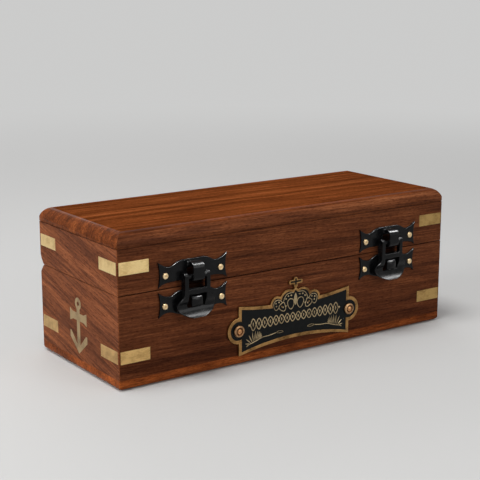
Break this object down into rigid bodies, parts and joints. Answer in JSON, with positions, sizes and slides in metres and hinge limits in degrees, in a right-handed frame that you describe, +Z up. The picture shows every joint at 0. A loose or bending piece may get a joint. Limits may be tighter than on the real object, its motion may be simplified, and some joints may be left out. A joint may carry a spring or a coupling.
{
  "type": "telescope box",
  "caption": "Small wooden case for a hand telescope, with a hinged lid, flush brass corner strips, black iron hasp latches, a crested nameplate and velvet-covered cradles.",
  "frame": {"origin": "middle of the underside of the closed box", "axes": "+X along the front from left to right, +Y from the front with the latches to the hinged back, +Z up"},
  "size_m": [0.217, 0.0923, 0.08],
  "materials": {
    "rosewood": "waxed rosewood, satin",
    "brass": "aged, softly polished",
    "black_iron": "glossy black paint on pressed iron",
    "plaque_enamel": "semi-gloss black enamel",
    "velvet": "cotton velvet, deep red",
    "cradle_wood": "plain softwood, hidden"
  },
  "bodies": {
    "base": {"anchor_inlay": "brass", "base_back_lining": "velvet", "base_back_wall": "rosewood", "base_bottom_panel": "rosewood", "base_floor_lining": "velvet", "base_front_lining": "velvet", "base_front_wall": "rosewood", "base_left_lining": "velvet", "base_left_wall": "rosewood", "base_right_lining": "velvet", "base_right_wall": "rosewood", "base_strips_back_left": "brass", "base_strips_back_right": "brass", "base_strips_front_left": "brass", "base_strips_front_right": "brass", "left_catch_nails": "brass", "left_catch_plate": "black_iron", "left_cradle_block": "cradle_wood", "left_cradle_cover": "velvet", "left_hinge_base_leaf": "brass", "left_hinge_base_screws": "brass", "left_hinge_pin": "brass", "nameplate": "brass", "nameplate_enamel": "plaque_enamel", "nameplate_nails": "brass", "right_catch_nails": "brass", "right_catch_plate": "black_iron", "right_cradle_block": "cradle_wood", "right_cradle_cover": "velvet", "right_hinge_base_leaf": "brass", "right_hinge_base_screws": "brass", "right_hinge_pin": "brass"},
    "lid": {"left_hinge_lid_leaf": "brass", "left_hinge_lid_screws": "brass", "left_latch_nails": "brass", "left_latch_plate": "black_iron", "lid_back_lining": "velvet", "lid_back_wall": "rosewood", "lid_front_lining": "velvet", "lid_front_wall": "rosewood", "lid_left_lining": "velvet", "lid_left_wall": "rosewood", "lid_pad": "velvet", "lid_right_lining": "velvet", "lid_right_wall": "rosewood", "lid_strips_back_left": "brass", "lid_strips_back_right": "brass", "lid_strips_front_left": "brass", "lid_strips_front_right": "brass", "lid_top_panel": "rosewood", "right_hinge_lid_leaf": "brass", "right_hinge_lid_screws": "brass", "right_latch_nails": "brass", "right_latch_plate": "black_iron"},
    "left_hasp": {"left_hasp": "black_iron"},
    "right_hasp": {"right_hasp": "black_iron"}
  },
  "joints": [
    {"name": "lid_hinge", "type": "hinge", "parent": "base", "child": "lid", "pos_m": [0, 0.0392, 0.0487], "axis": [-1, 0, 0], "range_deg": [0, 118]},
    {"name": "left_hasp_pivot", "type": "hinge", "parent": "lid", "child": "left_hasp", "pos_m": [-0.0655, -0.04675, 0.0542], "axis": [-1, 0, 0], "range_deg": [0, 150]},
    {"name": "right_hasp_pivot", "type": "hinge", "parent": "lid", "child": "right_hasp", "pos_m": [0.0655, -0.04675, 0.0542], "axis": [-1, 0, 0], "range_deg": [0, 150]}
  ]
}
